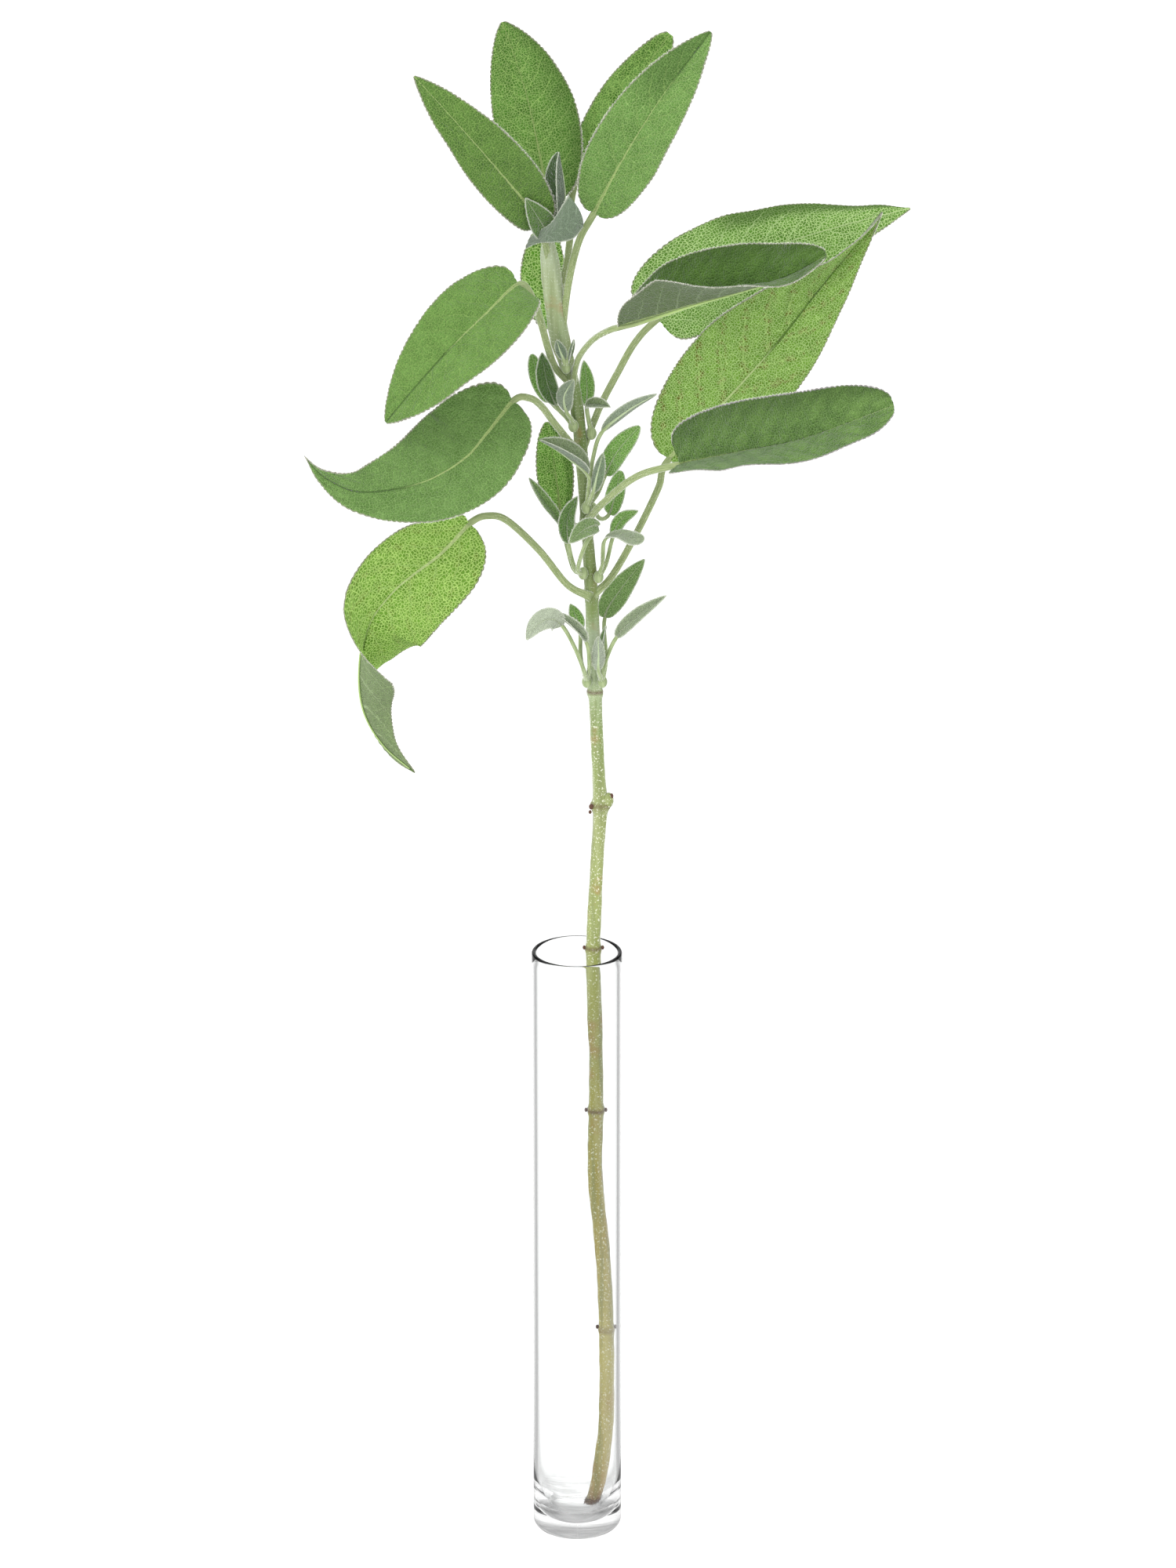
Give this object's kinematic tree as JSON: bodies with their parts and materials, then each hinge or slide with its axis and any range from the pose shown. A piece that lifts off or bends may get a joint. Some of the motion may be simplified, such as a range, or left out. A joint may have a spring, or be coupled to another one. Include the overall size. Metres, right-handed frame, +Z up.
{
  "type": "sage sprig in a glass tube vase",
  "caption": "Tall leafy sprig of common sage with long stalked oval leaves and young axil shoots, leaning in a slim clear glass tube vase with a thick base.",
  "frame": {"origin": "centre of the vase's flat bottom, on the surface it stands on", "axes": "+Z up along the vase, -Y to the front that the picture shows, +X to the right as seen from the front"},
  "size_m": [0.1418, 0.0892, 0.3795],
  "materials": {
    "glass": "clear polished glass with a fire-rounded rim",
    "stem": "green, finely hairy young stem, olive lower down",
    "leaf": "matte, finely pebbled and hairy leaf, paler beneath",
    "young_leaf": "matte, silvery downy young leaf"
  },
  "bodies": {
    "root": {"vase": "glass", "stem": "stem", "leaf_top_left": "leaf", "leaf_top_back": "leaf", "leaf_top_right": "leaf", "leaf_top_back_right": "leaf", "leaf_upper_left": "leaf", "leaf_upper_behind": "leaf", "leaf_upper_right": "leaf", "leaf_middle_left": "leaf", "leaf_middle_right": "leaf", "leaf_low_right": "leaf", "leaf_low_behind": "leaf", "leaf_bottom_left": "leaf", "leaf_bottom_right": "leaf", "shoot_ring_left": "young_leaf", "shoot_ring_right": "young_leaf", "shoot_low_left": "young_leaf", "shoot_low_right": "young_leaf", "shoot_mid_front": "young_leaf", "shoot_mid_behind": "young_leaf", "shoot_high_left": "young_leaf", "shoot_high_right": "young_leaf", "shoot_top_front": "young_leaf", "tip_bud": "young_leaf"}
  },
  "joints": []
}
